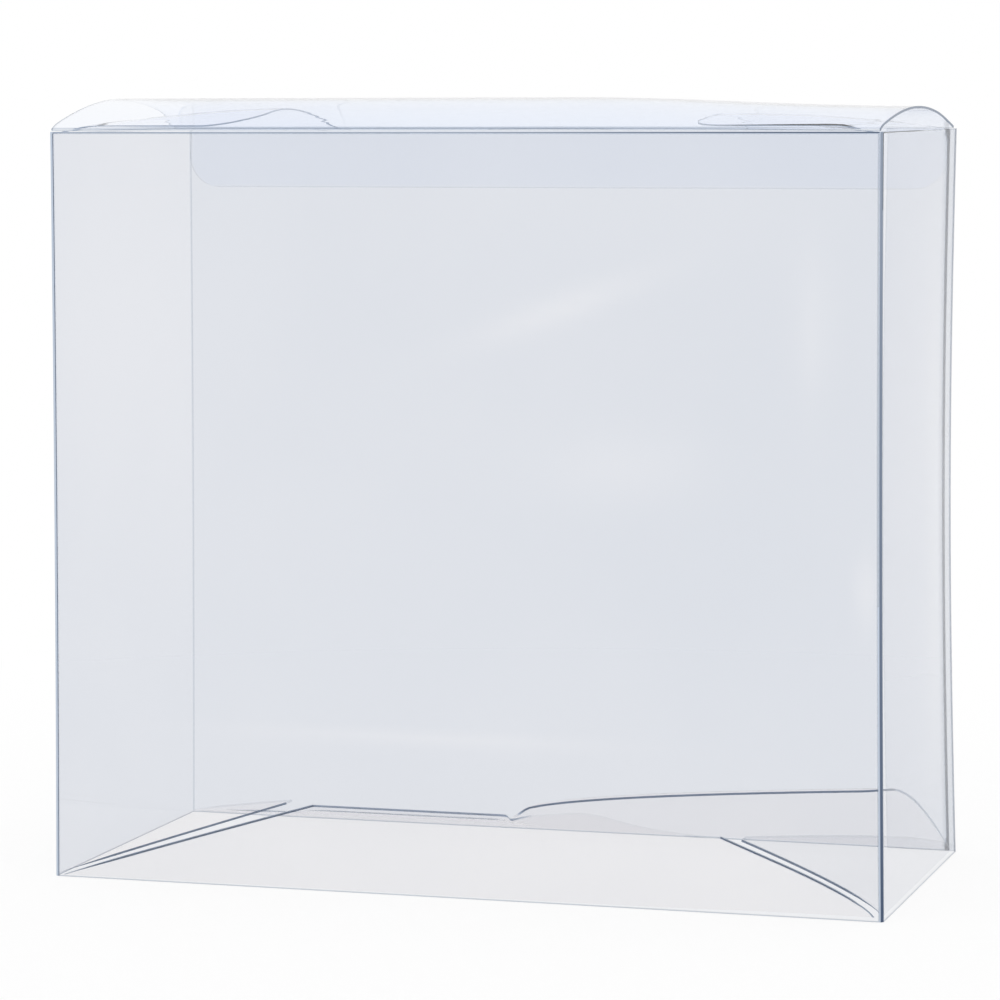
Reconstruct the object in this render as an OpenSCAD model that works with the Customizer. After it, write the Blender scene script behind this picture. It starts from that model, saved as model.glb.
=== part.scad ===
// Clear protector for a box of trading cards: one folded and glued sheet of film,
// with a hinged tuck lid on top and a self-locking bottom.
// Origin at the middle of the base, +X to the right, +Y to the back, +Z up, in millimetres.

/* [Box] */
// Outside width, left to right
box_w = 144; // [100:1:260]
// Outside depth, front to back
box_d = 66; // [50:1:140]
// Height of the walls, from the base crease to the top crease
box_h = 128.5; // [70:0.5:260]
// Thickness of the clear film
film_t = 0.5; // [0.3:0.05:0.8]
// Inside radius of the upright creases
crease_in_r = 0.4; // [0.2:0.1:1.5]

/* [Glue seam] */
// Width of the glue tab inside the back panel
tab_w = 12.5; // [8:0.5:20]
// Bare strip between the cut edge of the back panel and the corner
seam_gap = 1.5; // [1:0.1:4]
// How far the ends of the glue tab stay back from the base and the top crease
tab_end_gap = 2.5; // [1:0.5:8]

/* [Lid] */
// Height of the arch that the lid makes over its front and rear creases
lid_rise = 5.2; // [4.5:0.1:12]
// Gap between each end of the lid and the outside of the side wall
lid_end_gap = 0.5; // [0.2:0.1:2]
// Play at the front crease, where the lid hinges
hinge_play = 0.1; // [0.05:0.05:0.3]
// Length of the tuck flap below the rear crease
tuck_l = 10.8; // [6:0.2:20]
// How far the lower edge of the tuck flap leans in from the back panel
tuck_lean = 1.8; // [1.4:0.1:4]
// Gap between the tuck flap and the glue tab
tuck_gap = 0.3; // [0.2:0.05:1]
// Radius of the lower corners of the tuck flap
tuck_corner_r = 6; // [2:0.5:9]

/* [Thumb cut] */
// Width of the cut along the rear crease
thumb_w = 24.5; // [16:0.5:40]
// Depth of the cut into the lid
thumb_depth = 5.5; // [4.5:0.5:12]
// Radius of the cut's inner corners
thumb_corner_r = 4; // [2:0.5:4.5]
// Offset of the cut from the middle of the lid
thumb_x = -1; // [-20:0.5:20]

/* [Dust flaps] */
// Reach of each dust flap from its side wall
dust_reach = 36; // [20:0.5:40]
// Height that the free end of the left flap bows up to
dust_rise_left = 3.4; // [1:0.1:3.6]
// Height that the free end of the right flap bows up to
dust_rise_right = 2.3; // [1:0.1:3.6]
// Gap between a flap and the front wall
dust_front_gap = 1.2; // [1:0.1:4]
// Gap between a flap and the inside of the back wall
dust_back_gap = 4; // [3.5:0.1:10]
// Radius of the corners at the free end
dust_corner_r = 7; // [3:0.5:12]

/* [Bottom flaps] */
// Reach of the front flap past the middle of the base
front_lap = 2.5; // [0:0.5:8]
// Reach of the back flap past the middle of the base, where it hooks under the front flap
back_lap = 4; // [0:0.5:8]
// How far the raised half of the back flap stops short of that
back_cutback = 8; // [4:0.5:16]
// Gap between the blunt tip of a side flap and the middle of the base
side_tip_gap = 2; // [1:0.5:8]
// Height of the front flap's free edge, left half
front_rise_left = 8; // [3:0.5:14]
// Height of the front flap's free edge, right end
front_rise_right = 5.2; // [3:0.5:14]
// Height of the back flap's free edge, hooked half
back_rise_left = 6.6; // [2:0.2:14]
// Height of the back flap's free edge, raised half
back_rise_right = 14.5; // [8:0.5:20]
// Height of the left side flap's tip
side_rise_left = 8.8; // [3:0.2:14]
// Height of the right side flap's tip
side_rise_right = 6.2; // [3:0.2:14]
// Side cut of the back flap's raised end, for each millimetre of reach
back_taper = 0.3; // [0.1:0.05:1]

/* [Hidden] */
$fn = 64;
// Side cut of a flap that is cut at forty-five degrees
mitre = 1;
// Half of the film, by which a flap's hinge edge is let into its wall
root = film_t / 2;
// Reach of the bottom flaps from their walls
front_reach = box_d / 2 + front_lap;
back_reach = box_d / 2 + back_lap;
side_reach = box_d / 2 - side_tip_gap;
// The tuck flap hangs inside the glue tab
tuck_out_y = box_d / 2 - 2 * film_t - tuck_gap;
// Underside of the lid: an arc over this chord
lid_front_y = -box_d / 2;
lid_cut_y = lid_front_y + hinge_play;
lid_chord = tuck_out_y - film_t - lid_front_y;
lid_mid_y = lid_front_y + lid_chord / 2;
lid_r = (lid_chord * lid_chord / 4 + lid_rise * lid_rise) / (2 * lid_rise);
lid_z = box_h + hinge_play;
lid_w = box_w - 2 * lid_end_gap;
// The tuck flap's top is let this far up into the arch
tuck_shoulder = 0.6 * film_t;
// Cells of the bowed flaps, along the hinge and away from it
wide_cells = 12;
reach_cells = 5;

function mix(a, b, k) = a + (b - a) * k;
function clamp01(k) = min(1, max(0, k));
function smooth(k) = let (c = clamp01(k)) c * c * (3 - 2 * c);
// How far a rounded corner of radius r has cut back, at distance d from the corner's side
function corner_drop(d, r) = d >= r ? 0 : r - sqrt(r * r - (r - d) * (r - d));

// A film of the box's thickness over the unit square, from its lower face place(u, v)
module film(place, across, away) {
    row = away + 1;
    count = (across + 1) * row;
    lower = [for (i = [0:across]) for (j = [0:away]) place(i / across, j / away)];
    upper = [for (p = lower) p + [0, 0, film_t]];
    function at(i, j) = i * row + j;
    faces = [
        for (i = [0:across - 1]) for (j = [0:away - 1])
            each [[at(i, j), at(i + 1, j), at(i, j + 1)], [at(i + 1, j), at(i + 1, j + 1), at(i, j + 1)]],
        for (i = [0:across - 1]) for (j = [0:away - 1])
            each [[count + at(i, j), count + at(i, j + 1), count + at(i + 1, j)],
                  [count + at(i + 1, j), count + at(i, j + 1), count + at(i + 1, j + 1)]],
        for (i = [0:across - 1]) each rim(at(i, 0), at(i + 1, 0), count),
        for (i = [0:across - 1]) each rim(at(i + 1, away), at(i, away), count),
        for (j = [0:away - 1]) each rim(at(across, j), at(across, j + 1), count),
        for (j = [0:away - 1]) each rim(at(0, j + 1), at(0, j), count)
    ];
    polyhedron(points = concat(lower, upper), faces = faces);
}

// Two triangles that close the film between the edge a-b and the same edge above it
function rim(a, b, count) = [[a, count + a, b], [b, count + a, count + b]];

// One bottom flap, hinged along the foot of the wall that faces local -Y.
// reach(u) is its length, cut_a and cut_b its side cuts, and lift(u, v) its height.
module bottom_flap(turn, hinge_l, wall_y, reach, cut_a, cut_b, lift, across) {
    start = -hinge_l / 2 + film_t;
    end = hinge_l / 2 - film_t;
    place = function (u, v)
        let (d = reach(u) * v)
        [mix(start + cut_a * d, end - cut_b * d, u), -wall_y + root + d, lift(u, v)];
    rotate([0, 0, turn]) film(place, across, reach_cells);
}

// The front flap is mitred at both ends and bows up to its free edge
module front_flap() {
    lift = function (u, v) mix(front_rise_left * v, front_rise_right * sqrt(v), smooth(2 * u - 1));
    bottom_flap(0, box_w, box_d / 2, function (u) front_reach - root, mitre, mitre, lift, wide_cells);
}

// The back flap: its left half hooks under the front flap, and its right half stands up
module back_flap() {
    raised = function (u) smooth((0.5 - u) * 5 + 0.4);
    reach = function (u) back_reach - root - back_cutback * raised(u);
    lift = function (u, v) mix(back_rise_left * v, back_rise_right * sin(90 * v), raised(u));
    bottom_flap(180, box_w, box_d / 2, reach, back_taper, mitre, lift, wide_cells);
}

module side_flap(turn, rise) {
    lift = function (u, v) film_t + rise * v;
    bottom_flap(turn, box_d, box_w / 2, function (u) side_reach - root, mitre, mitre, lift, 2);
}

// One dust flap: its hinge is straight, and its free end bows up under the lid
module dust_flap(turn, first, last, rise) {
    width = last - first;
    reach = function (u)
        dust_reach - root - corner_drop(min(u, 1 - u) * width, dust_corner_r);
    place = function (u, v)
        let (bow = 1 - (2 * u - 1) * (2 * u - 1))
        [mix(first, last, u), -box_w / 2 + root + reach(u) * v, box_h - film_t + rise * sin(90 * v) * bow];
    rotate([0, 0, turn]) film(place, wide_cells, reach_cells);
}

// A corner of the wall, folded round its crease: x and y are its outer corner, sx and sy point inwards
module fold(x, y, sx, sy) {
    out_r = crease_in_r + film_t;
    intersection() {
        translate([x + (sx < 0 ? -out_r : 0), y + (sy < 0 ? -out_r : 0)]) square(out_r);
        translate([x + sx * out_r, y + sy * out_r]) difference() {
            circle(out_r);
            circle(crease_in_r);
        }
    }
}

// Section of the four walls, looking down
module wall_section() {
    out_r = crease_in_r + film_t;
    half_w = box_w / 2;
    half_d = box_d / 2;
    // The right wall stops one film short of the back, where the glue tab turns off
    tab_y = half_d - film_t;
    translate([-half_w + out_r, -half_d]) square([box_w - 2 * out_r, film_t]);
    translate([-half_w, -half_d + out_r]) square([film_t, box_d - 2 * out_r]);
    translate([half_w - film_t, -half_d + out_r]) square([film_t, tab_y + half_d - 2 * out_r]);
    translate([-half_w + out_r, half_d - film_t]) square([box_w - out_r - seam_gap, film_t]);
    fold(-half_w, -half_d, 1, 1);
    fold(half_w, -half_d, -1, 1);
    fold(-half_w, half_d, 1, -1);
    fold(half_w, tab_y, -1, -1);
}

module glue_tab() {
    out_r = crease_in_r + film_t;
    translate([box_w / 2 - tab_w, box_d / 2 - 2 * film_t, tab_end_gap])
        cube([tab_w - out_r, film_t, box_h - 2 * tab_end_gap]);
    // The tab's root, as wide as the seam needs to hold the corner to the back panel
    translate([box_w / 2 - seam_gap - film_t - out_r, box_d / 2 - 2 * film_t, 0])
        cube([seam_gap + film_t, film_t, box_h]);
}

module sleeve() {
    color([0.86, 0.89, 0.95, 0.45]) {
        linear_extrude(box_h) wall_section();
        glue_tab();
        front_flap();
        back_flap();
        side_flap(90, side_rise_right);
        side_flap(270, side_rise_left);
        dust_flap(90, -box_d / 2 + dust_front_gap, box_d / 2 - dust_back_gap, dust_rise_right);
        dust_flap(270, -box_d / 2 + dust_back_gap, box_d / 2 - dust_front_gap, dust_rise_left);
    }
}

// Section of the arched lid, looking along X: local x is +Y and local y is +Z
module arch_section() {
    centre = [lid_mid_y, lid_z + lid_rise - lid_r];
    intersection() {
        translate([lid_cut_y, lid_z - film_t])
            square([tuck_out_y - film_t / 2 - lid_cut_y, lid_rise + 3 * film_t]);
        translate(centre) difference() {
            circle(lid_r + film_t, $fn = 720);
            circle(lid_r, $fn = 720);
        }
    }
}

// Section of the tuck flap, which leans in from the rear crease
module tuck_section() {
    top = lid_z + tuck_shoulder;
    foot = lid_z - tuck_l;
    polygon([[tuck_out_y - film_t, top], [tuck_out_y, top],
             [tuck_out_y - tuck_lean, foot], [tuck_out_y - tuck_lean - film_t, foot]]);
}

// Outline of the tuck flap seen from the front, with the rear crease at the origin
module tuck_outline() {
    w = lid_w;
    r = tuck_corner_r;
    translate([-w / 2, -tuck_l + r]) square([w, tuck_l - r + film_t]);
    translate([-w / 2 + r, -tuck_l]) square([w - 2 * r, tuck_l]);
    for (side = [-1, 1]) translate([side * (w / 2 - r), -tuck_l + r]) circle(r);
}

// Draws a section along the whole width of the lid
module across_lid() {
    rotate([90, 0, 90]) translate([0, 0, -lid_w / 2]) linear_extrude(lid_w) children();
}

// Half-moon cut with its straight side on the rear crease
module thumb_outline() {
    r = thumb_corner_r;
    past = film_t;
    translate([thumb_x - thumb_w / 2, -thumb_depth + r]) square([thumb_w, thumb_depth - r + past]);
    translate([thumb_x - thumb_w / 2 + r, -thumb_depth]) square([thumb_w - 2 * r, thumb_depth]);
    for (side = [-1, 1]) translate([thumb_x + side * (thumb_w / 2 - r), -thumb_depth + r]) circle(r);
}

module lid() {
    color([0.90, 0.92, 0.98, 0.45]) difference() {
        union() {
            across_lid() arch_section();
            intersection() {
                across_lid() tuck_section();
                translate([0, box_d / 2, lid_z]) rotate([90, 0, 0]) linear_extrude(box_d / 2) tuck_outline();
            }
        }
        translate([0, tuck_out_y, lid_z - film_t]) linear_extrude(lid_rise + 3 * film_t) thumb_outline();
    }
}

sleeve();
lid();
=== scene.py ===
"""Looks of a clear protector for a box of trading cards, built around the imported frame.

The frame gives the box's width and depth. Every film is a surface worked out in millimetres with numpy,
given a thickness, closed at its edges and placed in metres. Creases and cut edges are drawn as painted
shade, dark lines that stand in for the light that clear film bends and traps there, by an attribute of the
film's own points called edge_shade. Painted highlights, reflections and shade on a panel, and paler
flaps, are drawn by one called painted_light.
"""

from __future__ import annotations

import logging
import math
from dataclasses import dataclass, field
from enum import Enum

import bpy
import numpy as np
from mathutils import Matrix, Vector


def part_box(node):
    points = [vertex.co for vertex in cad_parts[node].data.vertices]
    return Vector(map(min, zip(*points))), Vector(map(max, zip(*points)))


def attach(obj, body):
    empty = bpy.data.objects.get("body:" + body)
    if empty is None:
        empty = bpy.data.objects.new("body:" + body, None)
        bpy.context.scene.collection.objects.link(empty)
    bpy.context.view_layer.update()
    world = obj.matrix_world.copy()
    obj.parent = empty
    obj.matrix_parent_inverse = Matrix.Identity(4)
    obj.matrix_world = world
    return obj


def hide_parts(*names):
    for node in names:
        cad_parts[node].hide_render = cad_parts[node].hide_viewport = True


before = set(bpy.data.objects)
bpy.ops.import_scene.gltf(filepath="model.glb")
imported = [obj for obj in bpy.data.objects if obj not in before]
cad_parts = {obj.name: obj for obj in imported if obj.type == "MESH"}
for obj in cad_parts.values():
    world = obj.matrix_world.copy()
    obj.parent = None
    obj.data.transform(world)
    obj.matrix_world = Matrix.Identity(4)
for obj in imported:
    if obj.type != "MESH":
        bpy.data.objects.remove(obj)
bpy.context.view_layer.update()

log = logging.getLogger("box_protector")

Triple = tuple[float, float, float]
MM = 0.001
# Distances from a film's edge in millimetres at which it has points, so that fine lines stay sharp
EDGE_STEPS = np.array([0.0, 0.1, 0.2, 0.32, 0.46, 0.62, 0.85, 1.3, 2.2])
# A row shorter than this many fine bands has its two bands shrunk
ROOM_FOR_BANDS = 2.5
# Softness of the side of a drawn line in millimetres
LINE_FADE = 0.1
# Mean painted edge shade over which a face takes the solid material of a cut edge
SOLID_EDGE_SHADE = 0.45
# Angle between two faces from which the edge between them is shaded as sharp
SHARP_DEG = 50.0
# Share of its thickness that a flap keeps at its hinge, and how far from there it has all of it
HINGE_THIN = 0.03
HINGE_FADE = 8.0
# Gap between a flap's hinge and its wall's film, and the hinge's inset at each corner in crease radii
HINGE_GAP = 0.05
HINGE_INSET = 0.6
# A ray passes up to eight films, each with two faces, and may turn between them
MAX_BOUNCES = 32


class Body(Enum):
    """The moving bodies of the frame."""

    SLEEVE = "sleeve"
    LID = "lid"


class Panel(Enum):
    """The panels of the wrap, in the order in which its outline passes them."""

    BACK = 0
    LEFT = 1
    FRONT = 2
    RIGHT = 3
    TAB = 4


class Wall(Enum):
    """The four walls, by the turn about +Z that brings the front wall to them."""

    FRONT = 0
    RIGHT = 90
    BACK = 180
    LEFT = 270


def mix(a, b, share):
    """Goes from a to b in a straight line as share goes from 0 to 1."""
    return a + (b - a) * share


def smooth(share) -> np.ndarray:
    """Rises from 0 to 1 with level ends: the cubic 3 s squared minus 2 s cubed."""
    held = np.clip(share, 0.0, 1.0)
    return held * held * (3.0 - 2.0 * held)


def spread(low: np.ndarray, high: np.ndarray, cells: int) -> np.ndarray:
    """Places points between two edges in each row: a fine band at both, and even cells in between.

    Where a row is short, its bands shrink with it.
    """
    low = np.atleast_1d(np.asarray(low, dtype=float))[:, None]
    high = np.atleast_1d(np.asarray(high, dtype=float))[:, None]
    scale = np.minimum(1.0, (high - low) / (ROOM_FOR_BANDS * EDGE_STEPS[-1]))
    left = low + scale * EDGE_STEPS
    right = high - scale * EDGE_STEPS[::-1]
    inner = np.linspace(0.0, 1.0, cells + 1)[1:-1]
    middle = mix(left[:, -1:], right[:, :1], inner)
    return np.concatenate([left, middle, right], axis=1)


def darkest(*edge_shades: np.ndarray) -> np.ndarray:
    """The most of the given painted edge shades at each point."""
    return np.maximum.reduce(np.broadcast_arrays(*edge_shades))


def add_object(name: str, data: bpy.types.ID) -> bpy.types.Object:
    """Makes an object of the data and links it into the scene."""
    made = bpy.data.objects.new(name, data)
    bpy.context.scene.collection.objects.link(made)
    return made


@dataclass(frozen=True)
class EdgeLine:
    """How the painted shade of a crease or a cut edge is drawn: a dark core with a paler band, which may lie
    to one side.
    """

    core: float
    band: float = 0.0
    # Widths and shift in millimetres, measured to one side of the line
    core_width: float = 0.14
    band_width: float = 0.5
    band_shift: float = 0.0

    def edge_shade(self, distance: np.ndarray) -> np.ndarray:
        """Darkness at a distance in millimetres: full inside each width, then fading out."""
        core = self.core * (1.0 - smooth((np.abs(distance) - self.core_width) / LINE_FADE))
        band = self.band * (1.0 - smooth((np.abs(distance - self.band_shift) - self.band_width) / LINE_FADE))
        return np.maximum(core, band)


NO_LINE = EdgeLine(0.0)


@dataclass(frozen=True)
class Streak:
    """A soft streak of painted light on a panel, or painted shade where its gain is negative, placed in
    millimetres from the panel's first edge and from its foot.
    """

    panel: Panel
    across: float
    up: float
    half_length: float
    half_width: float
    turn_deg: float
    gain: float

    def weight(self, across: np.ndarray, up: np.ndarray) -> np.ndarray:
        """Gain times a bell: e to minus the squares of the distances along and across the streak."""
        turn = math.radians(self.turn_deg)
        along = (across - self.across) * math.cos(turn) + (up - self.up) * math.sin(turn)
        aside = (up - self.up) * math.cos(turn) - (across - self.across) * math.sin(turn)
        return self.gain * np.exp(-((along / self.half_length) ** 2) - (aside / self.half_width) ** 2)


@dataclass(frozen=True)
class BoxSizes:
    """Outside sizes of the folded box in millimetres, with the film's own thickness."""

    width: float
    depth: float
    height: float = 128.3
    film: float = 0.36
    crease_r: float = 0.42
    tab_width: float = 12.5
    seam_gap: float = 1.5
    # How far the bottom flaps push the two ends out at the foot
    flare_right: float = 0.9
    flare_left: float = 0.75

    @classmethod
    def from_frame(cls) -> "BoxSizes":
        """Takes the width and depth from the frame's sleeve."""
        low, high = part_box("sleeve")
        return cls(width=(high[0] - low[0]) / MM, depth=(high[1] - low[1]) / MM)

    @property
    def half_w(self) -> float:
        """Half of the width to the middle of the film."""
        return (self.width - self.film) / 2.0

    @property
    def half_d(self) -> float:
        """Half of the depth to the middle of the film."""
        return (self.depth - self.film) / 2.0


@dataclass
class Film:
    """A film laid over a grid of middle points, with painted edge shade, painted light and thickness at each
    of them.
    """

    name: str
    middle: np.ndarray
    edge_shade: np.ndarray
    painted_light: np.ndarray
    thickness: np.ndarray

    def normals(self) -> np.ndarray:
        """Unit normals: the cross product of the grid's two directions at each point."""
        down = np.gradient(self.middle, axis=0)
        across = np.gradient(self.middle, axis=1)
        cross = np.cross(down, across)
        return cross / np.linalg.norm(cross, axis=2, keepdims=True)

    def faces(self) -> np.ndarray:
        """Quads of the two faces and of the rim that joins them, all turned outwards."""
        rows, columns = self.edge_shade.shape
        index = np.arange(rows * columns).reshape(rows, columns)
        corners = [index[:-1, :-1], index[1:, :-1], index[1:, 1:], index[:-1, 1:]]
        top = np.stack(corners, axis=-1).reshape(-1, 4)
        under = top[:, ::-1] + rows * columns
        loop = np.concatenate([index[:-1, 0], index[-1, :-1], index[:0:-1, -1], index[0, :0:-1]])
        ahead = np.roll(loop, -1)
        rim = np.stack([loop, loop + rows * columns, ahead + rows * columns, ahead], axis=-1)
        return np.concatenate([top, under, rim])

    def solid_faces(self) -> np.ndarray:
        """1 for the rim's faces and for those with much painted edge shade, and 0 for the clear ones."""
        mean = (self.edge_shade[:-1, :-1] + self.edge_shade[1:, :-1] + self.edge_shade[1:, 1:] + self.edge_shade[:-1, 1:]) / 4.0
        edge_shaded = (mean.ravel() > SOLID_EDGE_SHADE).astype(np.int32)
        rows, columns = self.edge_shade.shape
        rim = np.ones(2 * (rows + columns - 2), dtype=np.int32)
        return np.concatenate([edge_shaded, edge_shaded, rim])

    def build(self, finish: "FilmFinish", body: Body, node: str) -> bpy.types.Object:
        """Makes the closed mesh in its finish, lets it ride on the body and stand for the CAD node."""
        offset = self.normals() * self.thickness[..., None] / 2.0
        sides = [self.middle + offset, self.middle - offset]
        points = np.concatenate([side.reshape(-1, 3) for side in sides])
        mesh = bpy.data.meshes.new(self.name)
        mesh.from_pydata((points * MM).tolist(), [], self.faces().tolist())
        for title, values in (("edge_shade", self.edge_shade), ("painted_light", self.painted_light)):
            layer = mesh.attributes.new(title, "FLOAT", "POINT")
            layer.data.foreach_set("value", np.tile(values.ravel(), 2).astype(np.float32))
        mesh.polygons.foreach_set("use_smooth", np.ones(len(mesh.polygons), dtype=bool))
        mesh.set_sharp_from_angle(angle=math.radians(SHARP_DEG))
        mesh.materials.append(finish.material())
        mesh.materials.append(CUT_EDGE.material())
        mesh.polygons.foreach_set("material_index", self.solid_faces())
        piece = add_object(self.name, mesh)
        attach(piece, body.value)
        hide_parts(node)
        log.info("%s: %d faces on %s", self.name, len(mesh.polygons), body.value)
        return piece


@dataclass
class NodeTree:
    """A short way to place and join shader nodes."""

    tree: bpy.types.NodeTree

    def add(self, kind: str, inputs: dict | None = None, **settings) -> bpy.types.Node:
        """Adds a node and sets the given attributes and then the given inputs on it."""
        node = self.tree.nodes.new(kind)
        for key, value in settings.items():
            setattr(node, key, value)
        return self.fill(node, inputs or {})

    @staticmethod
    def fill(node: bpy.types.Node, inputs: dict) -> bpy.types.Node:
        """Sets the values of a node's inputs by their names."""
        for title, value in inputs.items():
            node.inputs[title].default_value = value
        return node

    def join(self, source: bpy.types.NodeSocket, target: bpy.types.NodeSocket) -> None:
        """Links an output to an input."""
        self.tree.links.new(source, target)

    def noise(self, scale: float, detail: float) -> bpy.types.Node:
        """Adds a noise over the object's own space, with scale as its cells to a metre."""
        place = self.add("ShaderNodeTexCoord")
        noise = self.add("ShaderNodeTexNoise", {"Scale": scale, "Detail": detail})
        self.join(place.outputs["Object"], noise.inputs["Vector"])
        return noise

    def ramp(self, value: bpy.types.NodeSocket, limits: dict[str, float], **settings) -> bpy.types.Node:
        """Adds a map range of a value. Limits that aren't given go from 0 to 1."""
        node = self.add("ShaderNodeMapRange", limits, **settings)
        self.join(value, node.inputs["Value"])
        return node


def film_tone_group() -> bpy.types.NodeTree:
    """Builds, once, the group that works out the film's colour, roughness and ripple.

    The colour runs from the dark to the light tone with the painted_light attribute, which paints highlights,
    reflections and shade, and a soft noise, and then towards the colour of the painted edge shade with the
    edge_shade attribute. The roughness and the ripple are noises.
    """
    name = "film_tone"
    if name in bpy.data.node_groups:
        return bpy.data.node_groups[name]
    group = bpy.data.node_groups.new(name, "ShaderNodeTree")
    given_kinds = {"Dark": "Color", "Light": "Color", "Edge Shade": "Color", "Cloud": "Float", "Gloss": "Float"}
    result_kinds = {"Color": "Color", "Roughness": "Float", "Ripple": "Float"}
    sockets = {"INPUT": given_kinds, "OUTPUT": result_kinds}
    for way, kinds in sockets.items():
        for title, kind in kinds.items():
            group.interface.new_socket(title, in_out=way, socket_type=f"NodeSocket{kind}")
    nodes = NodeTree(group)
    given = nodes.add("NodeGroupInput")
    result = nodes.add("NodeGroupOutput")
    painted_light = nodes.add("ShaderNodeAttribute", attribute_name="painted_light")
    edge_shade = nodes.add("ShaderNodeAttribute", attribute_name="edge_shade")

    cloud = nodes.noise(scale=28.0, detail=2.0)
    centred = nodes.add("ShaderNodeMath", operation="SUBTRACT")
    centred.inputs[1].default_value = 0.5
    nodes.join(cloud.outputs["Fac"], centred.inputs[0])
    clouded = nodes.add("ShaderNodeMath", operation="MULTIPLY_ADD")
    nodes.join(centred.outputs[0], clouded.inputs[0])
    nodes.join(given.outputs["Cloud"], clouded.inputs[1])
    nodes.join(painted_light.outputs["Fac"], clouded.inputs[2])
    tone = nodes.ramp(clouded.outputs[0], {"From Min": -1.0, "From Max": 1.0})

    base = nodes.add("ShaderNodeMix", data_type="RGBA")
    nodes.join(tone.outputs["Result"], base.inputs["Factor"])
    nodes.join(given.outputs["Dark"], base.inputs["A"])
    nodes.join(given.outputs["Light"], base.inputs["B"])
    lined = nodes.add("ShaderNodeMix", data_type="RGBA")
    nodes.join(edge_shade.outputs["Fac"], lined.inputs["Factor"])
    nodes.join(base.outputs["Result"], lined.inputs["A"])
    nodes.join(given.outputs["Edge Shade"], lined.inputs["B"])
    nodes.join(lined.outputs["Result"], result.inputs["Color"])

    worn = nodes.ramp(cloud.outputs["Fac"], {})
    nodes.join(given.outputs["Gloss"], worn.inputs["To Max"])
    nodes.join(worn.outputs["Result"], result.inputs["Roughness"])

    swell = nodes.noise(scale=45.0, detail=1.0)
    nodes.join(swell.outputs["Fac"], result.inputs["Ripple"])
    return group


def shaded(name: str) -> tuple[bpy.types.Material, NodeTree, bpy.types.Node]:
    """Makes a material and returns it with its nodes and its Principled shader."""
    material = bpy.data.materials.new(name)
    material.use_nodes = True
    return material, NodeTree(material.node_tree), material.node_tree.nodes["Principled BSDF"]


@dataclass(frozen=True)
class FilmFinish:
    """Clear polyester film. The tones are what one layer lets through, in linear colour.

    The refraction is far below that of real polyester, so that a pile of films stays as clear as in the
    photo and traps less light.
    """

    name: str
    slot: str
    dark: Triple
    light: Triple
    # Colour of the painted edge shade at creases and cut edges
    edge_shade: Triple = (0.18, 0.26, 0.37)
    cloud: float = 0.25
    gloss: float = 0.03
    ripple: float = 0.02
    refraction: float = 1.1

    def material(self) -> bpy.types.Material:
        """Makes the material, or returns the one that was made before."""
        if self.name in bpy.data.materials:
            return bpy.data.materials[self.name]
        material, nodes, shader = shaded(self.name)
        nodes.fill(shader, {"IOR": self.refraction, "Transmission Weight": 1.0, "Metallic": 0.0})
        tones = {"Dark": (*self.dark, 1.0), "Light": (*self.light, 1.0), "Edge Shade": (*self.edge_shade, 1.0)}
        tone = nodes.add("ShaderNodeGroup", {**tones, "Cloud": self.cloud, "Gloss": self.gloss},
                         node_tree=film_tone_group())
        bump = nodes.add("ShaderNodeBump", {"Strength": self.ripple, "Distance": MM})
        nodes.join(tone.outputs["Color"], shader.inputs["Base Color"])
        nodes.join(tone.outputs["Roughness"], shader.inputs["Roughness"])
        nodes.join(tone.outputs["Ripple"], bump.inputs["Height"])
        nodes.join(bump.outputs["Normal"], shader.inputs["Normal"])
        return material


@dataclass(frozen=True)
class CutEdge:
    """Painted shade at a cut edge or a sharp crease, for the light that the clear film traps and bends there:
    slate blue, and darker and more solid with more painted edge shade.
    """

    name: str = "cut_edge"
    pale: Triple = (0.62, 0.70, 0.82)
    dark: Triple = (0.04, 0.075, 0.15)
    # Painted edge shade at which the edge begins to show, and at which it hides what is behind it
    solid_from: float = 0.05
    solid_at: float = 0.4
    roughness: float = 0.35

    def material(self) -> bpy.types.Material:
        """Makes the material, or returns the one that was made before."""
        if self.name in bpy.data.materials:
            return bpy.data.materials[self.name]
        material, nodes, shader = shaded(self.name)
        shader.inputs["Roughness"].default_value = self.roughness
        edge_shade = nodes.add("ShaderNodeAttribute", attribute_name="edge_shade")
        depth = nodes.ramp(edge_shade.outputs["Fac"], {"From Min": self.solid_at})
        tone = nodes.add("ShaderNodeMix", {"A": (*self.pale, 1.0), "B": (*self.dark, 1.0)}, data_type="RGBA")
        nodes.join(depth.outputs["Result"], tone.inputs["Factor"])
        nodes.join(tone.outputs["Result"], shader.inputs["Base Color"])
        solid = nodes.ramp(edge_shade.outputs["Fac"], {"From Min": self.solid_from, "From Max": self.solid_at})
        nodes.join(solid.outputs["Result"], shader.inputs["Alpha"])
        return material


CUT_EDGE = CutEdge()
# One polyester in four finishes. The lid's tones are painted paler and bluer, the dust flaps' nearly white
# and the flaps' light tone warmer than the walls', as painted light for how these parts look lit
SLEEVE_FILM = FilmFinish("clear_polyester", "clear_film", dark=(0.738, 0.774, 0.829),
                         light=(0.98, 0.972, 0.975))
DUST_FILM = FilmFinish("clear_polyester_dust", "clear_film", dark=(0.955, 0.962, 0.985),
                       light=(0.995, 0.996, 1.0), gloss=0.0, ripple=0.002, refraction=1.005)
FLAP_FILM = FilmFinish("clear_polyester_flap", "clear_film", dark=(0.738, 0.774, 0.829),
                       light=(0.995, 0.978, 0.968), refraction=1.001)
LID_FILM = FilmFinish("clear_polyester_lid", "clear_film_lid", dark=(0.875, 0.91, 0.98),
                      light=(0.975, 0.983, 0.999), gloss=0.0, ripple=0.002)


def turned(points: np.ndarray, wall: Wall) -> np.ndarray:
    """Turns points about +Z from the front wall to another wall."""
    angle = math.radians(wall.value)
    x, y = points[..., 0], points[..., 1]
    return np.stack([x * math.cos(angle) - y * math.sin(angle), x * math.sin(angle) + y * math.cos(angle),
                     points[..., 2]], axis=-1)


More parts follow.
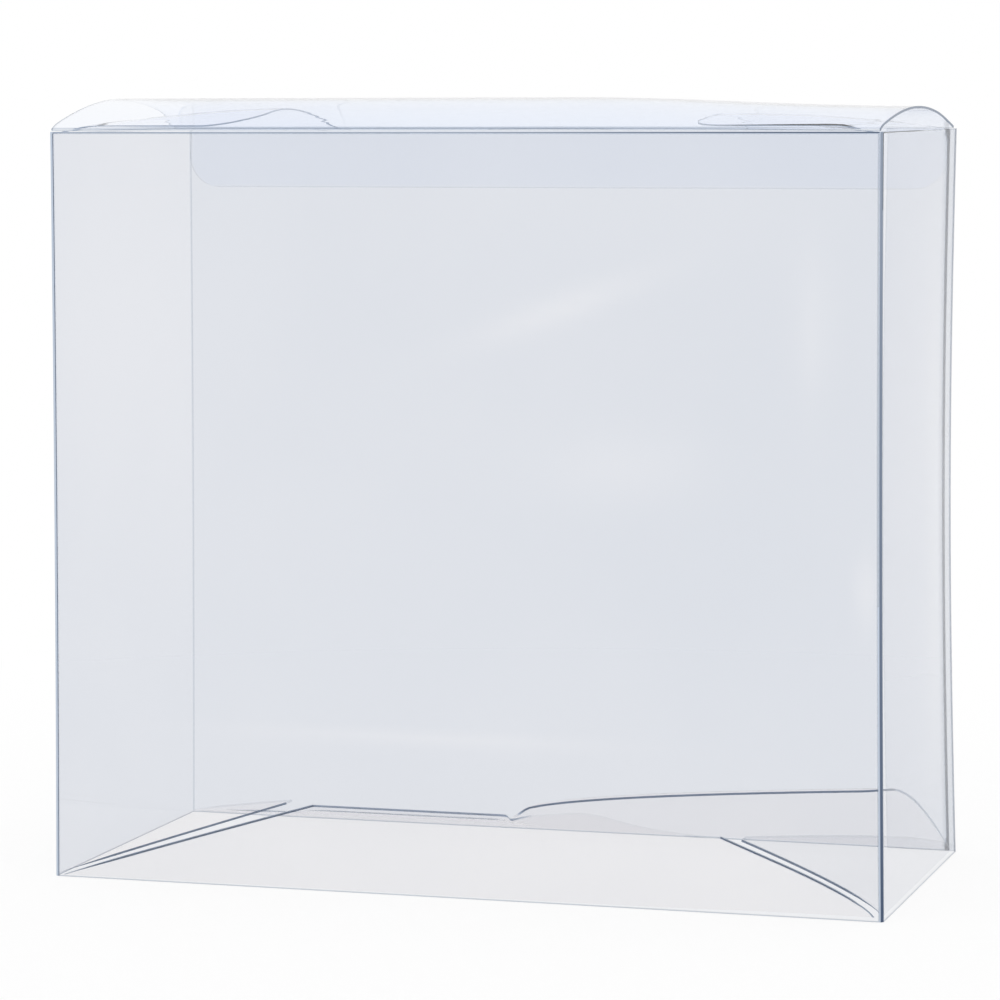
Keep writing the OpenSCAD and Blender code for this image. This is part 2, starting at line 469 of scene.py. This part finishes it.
@dataclass
class Wrap:
    """The four walls and the glue tab: one film carried round the box's outline."""

    sizes: BoxSizes
    cells_up: int = 60
    arc_cells: int = 8
    # About the length of one cell of a panel, and the least number of cells
    cell_length: float = 3.0
    least_cells: int = 4
    # Gap between the tab and the back panel
    tab_gap: float = 0.06
    # How far a side panel swells out at its middle, and the share of it on the front and back panels
    bulge: float = 0.35
    broad_share: float = 0.6
    # How far the back right corner bows in at half its height
    waist: float = 0.75
    # Share of their painted shade that the corner creases keep at the top
    top_shares: tuple[float, ...] = (1.0, 1.0, 0.75, 1.0)
    # Painted shade lines at the creases between back and left, left and front, front and right, right and tab
    corner_lines: tuple[EdgeLine, ...] = (
        EdgeLine(0.25), EdgeLine(0.5, 0.12, 0.34), EdgeLine(1.0, 0.5, 0.17, 0.16, -0.34),
        EdgeLine(0.47, 0.22, 0.3, 1.4))
    seam_line: EdgeLine = EdgeLine(0.92, 0.3, 0.4, 0.8)
    # How much wider the seam's line is at its two ends, and over what length
    seam_end_width: float = 0.4
    seam_end_length: float = 1.2
    front_top_line: EdgeLine = EdgeLine(0.95, 0.0, 0.26)
    # The front top line's share at the left, and the place and length over which it grows to the whole
    front_top_share: float = 0.68
    front_top_from: float = 50.0
    front_top_over: float = 90.0
    tab_line: EdgeLine = EdgeLine(0.12)
    top_line: EdgeLine = EdgeLine(0.4, 0.0, 0.08)
    foot_line: EdgeLine = EdgeLine(0.35, 0.0, 0.1)
    # Painted highlights and reflections of the lamps on the panels, and painted shade where a gain is
    # negative
    streaks: tuple[Streak, ...] = (
        Streak(Panel.FRONT, 90.0, 99.4, 16.0, 2.4, 20.0, 0.5),
        Streak(Panel.FRONT, 100.0, 73.0, 15.0, 6.0, 4.0, 0.3),
        Streak(Panel.FRONT, 132.0, 96.0, 3.0, 13.0, 0.0, 0.35),
        Streak(Panel.FRONT, 66.0, 26.5, 29.0, 1.2, 0.0, 0.4),
        Streak(Panel.FRONT, 141.0, 54.0, 1.6, 6.0, 0.0, 0.5),
        Streak(Panel.FRONT, 30.0, 90.0, 14.0, 40.0, 0.0, 0.12),
        Streak(Panel.FRONT, 122.0, 62.0, 26.0, 34.0, 0.0, -0.16),
        Streak(Panel.FRONT, 72.0, 0.0, 160.0, 24.0, 0.0, 0.25),
        Streak(Panel.LEFT, 33.0, 110.0, 60.0, 70.0, 0.0, 0.5),
        Streak(Panel.RIGHT, 33.0, 80.0, 90.0, 90.0, 0.0, 0.55),
    )

    def outline(self) -> tuple[np.ndarray, list[float], list[tuple[float, float]]]:
        """Walks from the back panel's cut edge round to the tab's free edge.

        Gives the points, the distance to each crease's middle, and each flat panel's first and last distance.
        """
        size = self.sizes
        r = size.crease_r
        half_w, half_d = size.half_w, size.half_d
        # The tab lies one film and a gap inside the back panel
        tab_y = half_d - size.film - self.tab_gap
        corners = [(half_w + size.film / 2 - size.seam_gap, half_d), (-half_w, half_d), (-half_w, -half_d),
                   (half_w, -half_d), (half_w, tab_y), (half_w + size.film / 2 - size.tab_width, tab_y)]
        points: list[np.ndarray] = []
        creases: list[float] = []
        panels: list[tuple[float, float]] = []
        walked = 0.0
        for number, (start, end) in enumerate(zip(corners[:-1], corners[1:])):
            start_v, end_v = np.array(start), np.array(end)
            length = float(np.linalg.norm(end_v - start_v))
            ahead = (end_v - start_v) / length
            first = 0.0 if number == 0 else r
            last = length if number == len(corners) - 2 else length - r
            panels.append((walked, walked + last - first))
            flat = spread(first, last, max(self.least_cells, int((last - first) / self.cell_length)))[0]
            points.append(start_v + ahead * flat[:, None])
            walked += last - first
            if number < len(corners) - 2:
                beyond = np.array(corners[number + 2]) - end_v
                side = beyond / np.linalg.norm(beyond)
                centre = end_v - ahead * r + side * r
                turn = np.linspace(0.0, math.pi / 2, self.arc_cells + 1)[1:-1, None]
                points.append(centre + ahead * r * np.sin(turn) - side * r * np.cos(turn))
                creases.append(walked + r * math.pi / 4)
                walked += r * math.pi / 2
        return np.concatenate(points), creases, panels

    def film(self) -> Film:
        """Carries the outline up the walls.

        Each panel swells by the product of two sine arches. The two ends spread towards the foot with the
        square of the share of the height below the top, and the back right corner bows in by a sine.
        """
        size = self.sizes
        path, creases, panels = self.outline()
        steps = np.linalg.norm(np.diff(path, axis=0), axis=1)
        walked = np.concatenate([[0.0], np.cumsum(steps)])
        up = spread(0.0, size.height, self.cells_up)[0]
        outward = self.outward(path)
        swell = np.zeros_like(walked)
        for number, (first, last) in enumerate(panels[: Panel.TAB.value]):
            share = np.clip((walked - first) / (last - first), 0.0, 1.0)
            broad = Panel(number) in (Panel.BACK, Panel.FRONT)
            wave = np.sin(math.pi * share) * (self.broad_share if broad else 1.0)
            swell += np.where((walked >= first) & (walked <= last), wave, 0.0)
        rise = np.sin(math.pi * up / size.height)
        shift = self.bulge * swell[:, None] * rise[None, :]
        x = path[:, :1] + outward[:, :1] * shift
        flare = np.clip(1.0 - up / size.height, 0.0, 1.0)[None, :] ** 2
        x = x + flare * x / size.half_w * np.where(x > 0.0, size.flare_right, size.flare_left)
        y = path[:, 1:] + outward[:, 1:] * shift
        x = x - self.waist * rise[None, :] * smooth(y / size.half_d) * smooth(x / size.half_w)
        z = np.broadcast_to(up, x.shape)
        lines = []
        for at, line, top_share in zip(creases, self.corner_lines, self.top_shares):
            kept = mix(1.0, top_share, up / size.height)
            lines.append(line.edge_shade(walked - at)[:, None] * kept[None, :])
        reach = self.seam_end_length
        end_blobs = np.exp(-((up / reach) ** 2)) + np.exp(-(((size.height - up) / reach) ** 2))
        from_seam = np.maximum(walked[:, None] - self.seam_end_width * end_blobs[None, :], 0.0)
        # The lid's crease on the front panel is sharper to the right
        first, last = panels[Panel.FRONT.value]
        on_front = (walked >= first) & (walked <= last)
        grown = smooth((walked - first - self.front_top_from) / self.front_top_over)
        sharp = np.where(on_front, mix(self.front_top_share, 1.0, grown), 0.0)
        front_top = sharp[:, None] * self.front_top_line.edge_shade(size.height - up)[None, :]
        lines += [self.seam_line.edge_shade(from_seam), self.tab_line.edge_shade(walked[-1] - walked)[:, None], front_top]
        lines += [self.top_line.edge_shade(size.height - up)[None, :], self.foot_line.edge_shade(up)[None, :]]
        # Painted light from the streaks
        painted_light = np.zeros_like(x)
        for streak in self.streaks:
            first, last = panels[streak.panel.value]
            on_panel = ((walked >= first) & (walked <= last))[:, None]
            painted_light += np.where(on_panel, streak.weight(walked[:, None] - first, up[None, :]), 0.0)
        # Rows go along the outline and columns up, so that the normals point out of the box
        return Film("walls", np.stack([x, y, z], axis=-1), darkest(*lines), painted_light, np.full_like(x, size.film))

    @staticmethod
    def outward(path: np.ndarray) -> np.ndarray:
        """Unit vectors out of the box: the outline's direction turned a quarter to the right."""
        ahead = np.gradient(path, axis=0)
        ahead /= np.linalg.norm(ahead, axis=1, keepdims=True)
        return np.stack([ahead[:, 1], -ahead[:, 0]], axis=-1)


@dataclass
class Flap:
    """A flap hinged on a wall: columns along its hinge, rows away from it."""

    name: str
    wall: Wall
    sizes: BoxSizes
    reach: float
    rise: float
    side_cut: tuple[float, float] = (1.0, 1.0)
    side_lines: tuple[EdgeLine, EdgeLine] = (NO_LINE, NO_LINE)
    free_line: EdgeLine = NO_LINE
    hinge_line: EdgeLine = NO_LINE
    # How much paler than the walls the flap is painted: painted light
    painted_lightness: float = 0.0
    finish: FilmFinish = FLAP_FILM
    cells: tuple[int, int] = (10, 24)
    film_share: float = 1.0
    hinge_share: float = HINGE_THIN

    @property
    def wall_offset(self) -> float:
        """Distance from the box's middle to the middle of the wall's film at the foot."""
        flare = {Wall.LEFT: self.sizes.flare_left, Wall.RIGHT: self.sizes.flare_right}
        half = self.sizes.half_d if self.wall in (Wall.FRONT, Wall.BACK) else self.sizes.half_w
        return half + flare.get(self.wall, 0.0)

    @property
    def hinge_span(self) -> tuple[float, float]:
        """First and last place of the hinge, along the wall from its middle."""
        half = self.sizes.half_w if self.wall in (Wall.FRONT, Wall.BACK) else self.sizes.half_d
        inset = HINGE_INSET * self.sizes.crease_r
        return -half + inset, half - inset

    def reach_at(self, along: np.ndarray) -> np.ndarray:
        """Reach of the flap at a place along its hinge."""
        return np.full_like(along, self.reach)

    def lift(self, along: np.ndarray, share: np.ndarray) -> np.ndarray:
        """Height of the flap over its hinge, where share goes from 0 there to 1 at the free edge."""
        return self.rise * share

    def level(self) -> float:
        """Height of the hinge over the base, to the middle of the film."""
        return self.sizes.film / 2.0

    def film(self) -> Film:
        """Lays the flap out: side edges run in by the side cuts, and lift gives the height."""
        # The hinge starts just inside the wall, so that the two films don't run into each other
        share = spread(self.sizes.film / 2.0 + HINGE_GAP, self.reach, self.cells[0])[0] / self.reach
        first, last = self.hinge_span
        low = first + self.side_cut[0] * share * self.reach
        high = last - self.side_cut[1] * share * self.reach
        along = spread(low, high, self.cells[1])
        rows = np.broadcast_to(share[:, None], along.shape)
        away = self.reach_at(along) * rows
        height = self.level() + self.lift(along, rows)
        points = np.stack([along, away - self.wall_offset, height], axis=-1)
        slant = [1.0 / math.hypot(1.0, cut) for cut in self.side_cut]
        edge_shade = darkest(self.side_lines[0].edge_shade((along - low[:, None]) * slant[0]),
                      self.side_lines[1].edge_shade((high[:, None] - along) * slant[1]),
                      self.free_edge_shade(along, self.reach_at(along) - away), self.hinge_line.edge_shade(away))
        thickness = self.film_share * self.sizes.film * mix(self.hinge_share, 1.0, smooth(away / HINGE_FADE))
        return Film(self.name, turned(points, self.wall), edge_shade, self.painted_light(along, rows), thickness)

    def free_edge_shade(self, along: np.ndarray, distance: np.ndarray) -> np.ndarray:
        """Painted edge shade at the free edge, the same all along it unless a flap says otherwise."""
        return self.free_line.edge_shade(distance)

    def painted_light(self, along: np.ndarray, share: np.ndarray) -> np.ndarray:
        """How much paler than the walls the flap is painted, as painted light, the same all over unless a
        flap says otherwise.
        """
        return np.full_like(along, self.painted_lightness)


@dataclass
class SideFlap(Flap):
    """A mitred triangle at one end of the base, which slopes up to its blunt tip."""

    exponent: float = 1.0

    def level(self) -> float:
        """The side flaps hinge half a film higher than the front and back flaps."""
        return self.sizes.film

    def lift(self, along: np.ndarray, share: np.ndarray) -> np.ndarray:
        """The rise times a power of the share, under one where the film bends near its hinge."""
        return self.rise * share**self.exponent


@dataclass
class FrontFlap(Flap):
    """The front bottom flap, with the notch that the back flap hooks into."""

    right_rise: float = 6.0
    notch_at: float = 0.8
    notch_depth: float = 4.0
    notch_width: float = 1.4
    # Share of its line that the free edge keeps under the back flap, and the length over which it fades
    hidden_share: float = 0.15
    hidden_fade: float = 3.0
    # Place and length over which the edge's rise goes over to that of the right part
    right_from: float = 10.0
    right_over: float = 26.0
    bump_at: float = 13.0
    bump_rise: float = 1.0
    bump_width: float = 7.0
    # Powers of the share that shape the slope, and the place at which it has the right one
    left_power: float = 0.93
    right_power: float = 0.5
    right_power_at: float = 60.0

    def reach_at(self, along: np.ndarray) -> np.ndarray:
        """The reach less a bell-shaped notch near the middle."""
        notch = np.exp(-(((along - self.notch_at) / self.notch_width) ** 2))
        return self.reach - self.notch_depth * notch

    def free_edge_shade(self, along: np.ndarray, distance: np.ndarray) -> np.ndarray:
        """The edge is drawn up to the notch and is faint beyond it, under the back flap."""
        hidden = smooth((along - self.notch_at) / self.hidden_fade)
        return self.free_line.edge_shade(distance) * mix(1.0, self.hidden_share, hidden)

    def lift(self, along: np.ndarray, share: np.ndarray) -> np.ndarray:
        """A power of the share: near straight at the left, a square root at the right, with a bump."""
        over = smooth((along - self.right_from) / self.right_over)
        bump = self.bump_rise * np.exp(-(((along - self.bump_at) / self.bump_width) ** 2))
        edge = mix(self.rise, self.right_rise, over) + bump
        return edge * share ** mix(self.left_power, self.right_power, smooth(along / self.right_power_at))


@dataclass
class BackFlap(Flap):
    """The back bottom flap: one half hooks under the front flap and the other stands up."""

    # How far short of the reach the raised half and the hooked half stop
    cutback: float = 8.0
    hook_back: float = 4.4
    # Rise of the raised half's edge next to the hook and at its end, and the power and length between
    inner_rise: float = 8.0
    raised_rise: float = 15.0
    raised_power: float = 0.55
    raised_length: float = 65.0
    corner_r: float = 5.0
    # Length over which the hooked half goes over to the raised one
    step_width: float = 4.0
    # Share of its line on the hooked half, and the raised share from and over which the line grows
    hooked_share: float = 0.05
    drawn_from: float = 0.5
    drawn_over: float = 0.4

    def raised(self, along: np.ndarray) -> np.ndarray:
        """1 on the raised half and 0 on the hooked half; along runs from right to left here."""
        return smooth(0.5 - along / self.step_width)

    def free_edge_shade(self, along: np.ndarray, distance: np.ndarray) -> np.ndarray:
        """The raised half's edge is drawn in full and the hooked half's is hardly seen."""
        drawn = smooth((self.raised(along) - self.drawn_from) / self.drawn_over)
        return self.free_line.edge_shade(distance) * mix(self.hooked_share, 1.0, drawn)

    def reach_at(self, along: np.ndarray) -> np.ndarray:
        """Each half stops short by its own length, and the raised one has a round corner at its end."""
        corner = self.hinge_span[0] + self.side_cut[0] * self.reach
        nearest = np.clip(along - corner, 0.0, self.corner_r)
        drop = self.corner_r - np.sqrt(self.corner_r**2 - (self.corner_r - nearest) ** 2)
        return self.reach - mix(self.hook_back, self.cutback, self.raised(along)) - drop

    def lift(self, along: np.ndarray, share: np.ndarray) -> np.ndarray:
        """A straight slope on the hooked half and a quarter sine on the raised one, highest at its end."""
        far = np.clip(-along / self.raised_length, 0.0, 1.0)
        edge = mix(self.inner_rise, self.raised_rise, far**self.raised_power)
        raised = self.raised(along)
        full = share * self.reach_at(along) / (self.reach - mix(self.hook_back, self.cutback, raised))
        return mix(self.rise * share, edge * np.sin(full * math.pi / 2), raised)


@dataclass
class DustFlap(Flap):
    """A dust flap under the lid: a straight hinge and a free end that bows up."""

    front_gap: float = 1.2
    back_gap: float = 4.0
    corner_r: float = 0.9
    front_corner_r: float = 11.0
    # Height that the whole flap gains away from its hinge, and the length over which it does
    edge_lift: float = 1.1
    lift_over: float = 8.0
    # How much shorter the flap is at its rear end
    taper: float = 0.0
    arch_power: float = 0.64
    arch_sharpness: float = 1.5
    # Distances from the box's front and back at which the arch begins and ends
    arch_front: float = 1.4
    arch_back: float = 0.6

    @property
    def wall_offset(self) -> float:
        """Distance from the box's middle to the middle of the wall's film at the top."""
        return self.sizes.half_w

    @property
    def hinge_span(self) -> tuple[float, float]:
        """The flap keeps clear of the front wall and of the tuck flap."""
        half = self.sizes.depth / 2.0
        span = (-half + self.front_gap, half - self.back_gap)
        return span if self.wall is Wall.RIGHT else (-span[1], -span[0])

    def rearward(self, along: np.ndarray) -> np.ndarray:
        """Place from front to rear, since along runs the other way on the left wall."""
        return along if self.wall is Wall.RIGHT else -along

    def reach_at(self, along: np.ndarray) -> np.ndarray:
        """The reach less a taper to the rear and the drop of a round corner at each end."""
        y = self.rearward(along)
        front, rear = sorted(self.rearward(end) for end in self.hinge_span)
        reach = self.reach - self.taper * (y - front) / (rear - front)
        for gap, r in ((y - front, self.front_corner_r), (rear - y, self.corner_r)):
            reach = reach - (r - np.sqrt(r**2 - (r - np.clip(gap, 0.0, r)) ** 2))
        return reach

    def level(self) -> float:
        """The hinge is at the top of the wall."""
        return self.sizes.height - self.sizes.film / 2.0

    def lift(self, along: np.ndarray, share: np.ndarray) -> np.ndarray:
        """An arch from front to back, highest before the middle, that grows from the hinge.

        The arch is the sine of a power of the place, so its peak lies forward. The sine itself is raised to
        a power over one, so it starts gently at the front edge.
        """
        depth = self.sizes.depth
        from_front = self.rearward(along) + depth / 2.0 - self.arch_front
        place = np.clip(from_front / (depth - self.arch_front - self.arch_back), 0.0, 1.0)
        arch = np.maximum(np.sin(math.pi * place**self.arch_power), 0.0) ** self.arch_sharpness
        away = share * self.reach_at(along)
        bow = self.rise * arch * np.sin(away / self.reach * math.pi / 2)
        return self.edge_lift * smooth(away / self.lift_over) + bow


@dataclass
class Lid:
    """The arched lid with its thumb cut, and the tuck flap behind it."""

    sizes: BoxSizes
    rise_left: float = 4.8
    rise_right: float = 3.2
    # Share of the right half from the box's middle at which the rise begins to fall
    fall_from: float = 0.2
    # Power of the arch's sine, power of the place in it away from the ends, and the stretch of an end
    arch_power: float = 0.9
    inner_power: float = 0.8
    end_stretch: float = 25.0
    # Rise just behind the front crease, the length it takes, and the length over which it goes at the rear
    crease_lift: float = 0.35
    crease_length: float = 1.0
    tail_length: float = 16.0
    end_gap: float = 0.4
    # Gap between the lid's film and the walls' top, and the front edge's inset from the front wall
    top_gap: float = 0.1
    front_inset: float = 0.1
    rear_y: float = 31.4
    tuck_length: float = 10.8
    tuck_lean: float = 1.8
    tuck_corner_r: float = 6.0
    tuck_end_gap: float = 1.2
    cut_at: float = -1.0
    cut_width: float = 24.5
    cut_depth: float = 5.0
    # Extra columns on each side of the cut's middle, between these shares of its half width
    cut_columns: int = 14
    cut_shares: tuple[float, float] = (0.2, 1.02)
    cells_across: int = 40
    cells_deep: int = 34
    tuck_cells: int = 8
    end_lines: tuple[EdgeLine, EdgeLine] = (EdgeLine(0.24, 0.0, 0.08), EdgeLine(0.85, 0.0, 0.1))
    front_line: EdgeLine = EdgeLine(0.15, 0.6, 0.04, 0.06, 0.24)
    rear_line: EdgeLine = EdgeLine(0.25)
    cut_line: EdgeLine = EdgeLine(0.95, 0.0, 0.6)
    tuck_line: EdgeLine = EdgeLine(0.12)
    # Painted light on the tuck flap, and the width of its rim, painted paler still
    tuck_painted_light: float = 0.4
    tuck_rim: float = 0.35

    @property
    def half(self) -> float:
        """Half of the lid's width."""
        return self.sizes.width / 2.0 - self.end_gap

    def cut_at_x(self, x: np.ndarray) -> np.ndarray:
        """Depth of the thumb cut: a fourth-power oval, flat in front and steep at its ends."""
        share = np.clip(np.abs(x - self.cut_at) / (self.cut_width / 2.0), 0.0, 1.0)
        return self.cut_depth * (1.0 - share**4) ** 0.25

    def arch(self) -> Film:
        """The lid's film: a sine arch over its depth, lower at the right end than elsewhere.

        The sine is raised to a power a little under one. Away from the ends it is that of a power of the
        place, so that the arch is fuller in front.
        """
        front_y = -self.sizes.half_d - self.sizes.film / 2.0 + self.front_inset
        span = self.rear_y - front_y
        ends = spread(-self.half, self.half, self.cells_across)[0]
        beside = self.cut_width / 2.0 * np.geomspace(*self.cut_shares, self.cut_columns)
        x = np.unique(np.concatenate([ends, self.cut_at - beside, self.cut_at + beside]))
        depth = span - self.cut_at_x(x)
        share = spread(0.0, span, self.cells_deep)[0] / span
        y = front_y + share[:, None] * depth[None, :]
        over = (y - front_y) / span
        fall = smooth((x / self.half - self.fall_from) / (1.0 - self.fall_from))
        peak = mix(self.rise_left, self.rise_right, fall)[None, :]
        root = 1.0 - np.exp(-(y - front_y) / self.crease_length)
        tail = smooth((self.rear_y - y) / self.tail_length)
        power = mix(1.0, self.inner_power, smooth((self.half - np.abs(x)) / self.end_stretch))[None, :]
        bow = peak * np.maximum(np.sin(math.pi * over**power), 0.0) ** self.arch_power
        z = self.sizes.height + self.sizes.film / 2.0 + self.top_gap + bow + self.crease_lift * root * tail
        xx = np.broadcast_to(x, y.shape)
        edge = front_y + depth[None, :] - y
        in_cut = self.cut_at_x(x)[None, :] > 0.0
        edge_shade = darkest(self.end_lines[0].edge_shade(xx + self.half), self.end_lines[1].edge_shade(self.half - xx),
                      self.front_line.edge_shade(y - front_y),
                      np.where(in_cut, self.cut_line.edge_shade(edge), self.rear_line.edge_shade(edge)))
        # Rows run to the back and columns to the right, so the order is turned to make normals point up
        points = np.stack([xx, y, z], axis=-1)[::-1]
        return Film("lid_arch", points, edge_shade[::-1], np.zeros_like(edge_shade), np.full_like(edge_shade, self.sizes.film))

    def tuck(self) -> Film:
        """The tuck flap: it leans in as it goes down, and its lower corners are quarter circles."""
        down = spread(0.0, self.tuck_length, self.tuck_cells)[0]
        past = np.clip(down - (self.tuck_length - self.tuck_corner_r), 0.0, self.tuck_corner_r)
        drop = self.tuck_corner_r - np.sqrt(self.tuck_corner_r**2 - past**2)
        half = self.sizes.width / 2.0 - self.tuck_end_gap
        x = spread(-half + drop, half - drop, self.cells_across)
        y = self.rear_y - self.sizes.film / 2.0 - self.tuck_lean * down / self.tuck_length
        z = self.sizes.height + self.sizes.film / 2.0 - down
        edge = np.minimum(self.tuck_length - down[:, None], np.minimum(x + half, half - x) - drop[:, None])
        edge_shade = self.tuck_line.edge_shade(edge)
        # Painted light: the tuck flap is painted paler, and its rim palest
        painted_light = np.where(edge < self.tuck_rim, 1.0, self.tuck_painted_light)
        points = np.stack(np.broadcast_arrays(x, y[:, None], z[:, None]), axis=-1)
        return Film("tuck_flap", points, edge_shade, painted_light, np.full_like(edge_shade, self.sizes.film))


@dataclass
class Protector:
    """The whole box protector: walls, flaps and lid."""

    sizes: BoxSizes = field(default_factory=BoxSizes.from_frame)

    def flaps(self) -> list[Flap]:
        """The six flaps that belong to the sleeve."""
        size = self.sizes
        middle = size.depth / 2.0
        cut_edge = EdgeLine(0.75, 0.0, 0.18)
        front_edge = EdgeLine(0.62, 0.0, 0.18)
        faint = EdgeLine(0.12)
        fainter = EdgeLine(0.1)
        rim_only = EdgeLine(0.45, 0.0, 0.01)
        dust = {"side_cut": (0.0, 0.0), "hinge_line": EdgeLine(0.2, 0.0, 0.05), "finish": DUST_FILM,
                "film_share": 0.6, "hinge_share": 1.0}
        return [
            FrontFlap("front_bottom_flap", Wall.FRONT, size, reach=middle + 1.0, rise=8.0,
                      side_lines=(front_edge, front_edge), free_line=EdgeLine(0.5, 0.0, 0.1),
                      painted_lightness=0.72, cells=(10, 160)),
            BackFlap("back_bottom_flap", Wall.BACK, size, reach=middle + 4.0, rise=7.3, side_cut=(0.14, 1.0),
                     side_lines=(EdgeLine(0.55), NO_LINE), free_line=EdgeLine(0.8), painted_lightness=0.95,
                     cells=(12, 160)),
            SideFlap("left_bottom_flap", Wall.LEFT, size, reach=middle - 2.0, rise=8.5,
                     side_lines=(faint, cut_edge), free_line=faint, painted_lightness=0.95, exponent=0.95),
            SideFlap("right_bottom_flap", Wall.RIGHT, size, reach=middle - 2.0, rise=6.0,
                     side_lines=(cut_edge, faint), free_line=faint, painted_lightness=0.3, exponent=0.5),
            DustFlap("left_dust_flap", Wall.LEFT, size, reach=36.0, rise=2.8, taper=3.0,
                     side_lines=(fainter, rim_only), free_line=rim_only, **dust),
            DustFlap("right_dust_flap", Wall.RIGHT, size, reach=33.0, rise=1.9, arch_power=0.9,
                     side_lines=(rim_only, fainter), free_line=EdgeLine(0.2), **dust),
        ]

    def build(self) -> None:
        """Builds every film and lets it ride on its body."""
        Wrap(self.sizes).film().build(SLEEVE_FILM, Body.SLEEVE, "sleeve")
        for flap in self.flaps():
            flap.film().build(flap.finish, Body.SLEEVE, "sleeve")
        lid = Lid(self.sizes)
        for film in (lid.arch(), lid.tuck()):
            film.build(LID_FILM, Body.LID, "lid")


@dataclass
class Studio:
    """Pale floor, soft lamps, white surroundings and the photograph's camera."""

    floor_half: float = 4.0
    floor_drop: float = 0.0001
    floor_tone: float = 0.96
    floor_roughness: float = 0.9
    sky_level: float = 0.92
    # The floor is seen as white by near_share within near metres, and wholly so from far metres
    near: float = 0.10
    far: float = 0.28
    near_share: float = 0.9
    lamp_aim: Triple = (0.0, 0.0, 0.06)
    azimuth_deg: float = 16.776
    elevation_deg: float = 5.679
    roll_deg: float = -0.161
    lens_mm: float = 145.74
    sensor_mm: float = 36.0
    clip_end_m: float = 50.0
    location_m: Triple = (0.20072, -0.67264, 0.13392)

    def build(self) -> None:
        """Makes the surroundings in order."""
        self.floor()
        self.world()
        self.lamps()
        self.camera()

    def floor(self) -> None:
        """A level floor: a little shaded near the object, plain white further off."""
        mesh = bpy.data.meshes.new("floor")
        r = self.floor_half
        z = -self.floor_drop
        mesh.from_pydata([(-r, -r, z), (r, -r, z), (r, r, z), (-r, r, z)], [], [(0, 1, 2, 3)])
        floor = add_object("floor", mesh)
        mesh.materials.append(self.floor_material())

    def floor_material(self) -> bpy.types.Material:
        """Matt white that camera, glossy and transmitted rays see turn to plain white with distance."""
        material, nodes, shader = shaded("pale_floor")
        output = material.node_tree.nodes["Material Output"]
        tone = (self.floor_tone, self.floor_tone, self.floor_tone, 1.0)
        nodes.fill(shader, {"Base Color": tone, "Roughness": self.floor_roughness, "Specular IOR Level": 0.0})
        place = nodes.add("ShaderNodeTexCoord")
        length = nodes.add("ShaderNodeVectorMath", operation="LENGTH")
        nodes.join(place.outputs["Object"], length.inputs[0])
        limits = {"From Min": self.near, "From Max": self.far, "To Min": self.near_share}
        fade = nodes.ramp(length.outputs["Value"], limits, interpolation_type="SMOOTHSTEP")
        seen = nodes.add("ShaderNodeMath", operation="MULTIPLY")
        nodes.join(fade.outputs["Result"], seen.inputs[0])
        nodes.join(self.seen_rays(nodes), seen.inputs[1])
        white = nodes.add("ShaderNodeEmission")
        blend = nodes.add("ShaderNodeMixShader")
        nodes.join(seen.outputs[0], blend.inputs["Fac"])
        nodes.join(shader.outputs[0], blend.inputs[1])
        nodes.join(white.outputs[0], blend.inputs[2])
        nodes.join(blend.outputs[0], output.inputs["Surface"])
        return material

    @staticmethod
    def seen_rays(nodes: NodeTree) -> bpy.types.NodeSocket:
        """1 for camera, glossy and transmitted rays, and 0 for the rest."""
        path = nodes.add("ShaderNodeLightPath")
        first = nodes.add("ShaderNodeMath", operation="MAXIMUM")
        nodes.join(path.outputs["Is Camera Ray"], first.inputs[0])
        nodes.join(path.outputs["Is Glossy Ray"], first.inputs[1])
        both = nodes.add("ShaderNodeMath", operation="MAXIMUM")
        nodes.join(first.outputs[0], both.inputs[0])
        nodes.join(path.outputs["Is Transmission Ray"], both.inputs[1])
        return both.outputs[0]

    def world(self) -> None:
        """Surroundings seen as white, which light the scene a little below that."""
        world = bpy.data.worlds.new("studio")
        bpy.context.scene.world = world
        world.use_nodes = True
        nodes = NodeTree(world.node_tree)
        backdrop = world.node_tree.nodes["Background"]
        level = nodes.ramp(self.seen_rays(nodes), {"To Min": self.sky_level})
        nodes.join(level.outputs["Result"], backdrop.inputs["Strength"])
        backdrop.inputs["Color"].default_value = (1.0, 1.0, 1.0, 1.0)

    def lamps(self) -> None:
        """Two wide soft lamps: one over the left shoulder and one behind."""
        lamps = (("key", (-0.9, -1.1, 1.3), 0.9, 2.2), ("rim", (0.9, 1.0, 1.1), 0.8, 1.2))
        for name, at, size, power in lamps:
            lamp = bpy.data.lights.new(name, "AREA")
            lamp.shape = "SQUARE"
            lamp.size = size
            lamp.energy = power
            holder = add_object(name, lamp)
            holder.location = at
            aim = Vector(self.lamp_aim) - Vector(at)
            holder.rotation_euler = aim.to_track_quat("-Z", "Y").to_euler()

    def camera(self) -> None:
        """A long lens at the photograph's angle: turned, tipped down and rolled."""
        data = bpy.data.cameras.new("camera")
        data.sensor_fit = "HORIZONTAL"
        data.sensor_width = self.sensor_mm
        data.lens = self.lens_mm
        data.clip_end = self.clip_end_m
        camera = add_object("camera", data)
        turn = math.radians(self.azimuth_deg)
        tip = math.radians(self.elevation_deg)
        forward = Vector((-math.sin(turn) * math.cos(tip), math.cos(turn) * math.cos(tip), -math.sin(tip)))
        level_right = Vector((math.cos(turn), math.sin(turn), 0.0))
        level_up = level_right.cross(forward)
        roll = math.radians(self.roll_deg)
        right = level_right * math.cos(roll) + level_up * math.sin(roll)
        up = level_up * math.cos(roll) - level_right * math.sin(roll)
        axes = Matrix((right, up, -forward)).transposed()
        camera.rotation_mode = "QUATERNION"
        camera.rotation_quaternion = axes.to_quaternion()
        camera.location = self.location_m
        bpy.context.scene.camera = camera


def main() -> None:
    """Builds the protector and its studio."""
    logging.basicConfig(level=logging.INFO)
    scene = bpy.context.scene
    scene.view_settings.view_transform = "Standard"
    scene.cycles.max_bounces = MAX_BOUNCES
    scene.cycles.transmission_bounces = MAX_BOUNCES
    scene.cycles.transparent_max_bounces = MAX_BOUNCES
    Protector().build()
    Studio().build()


if __name__ == "__main__":
    main()
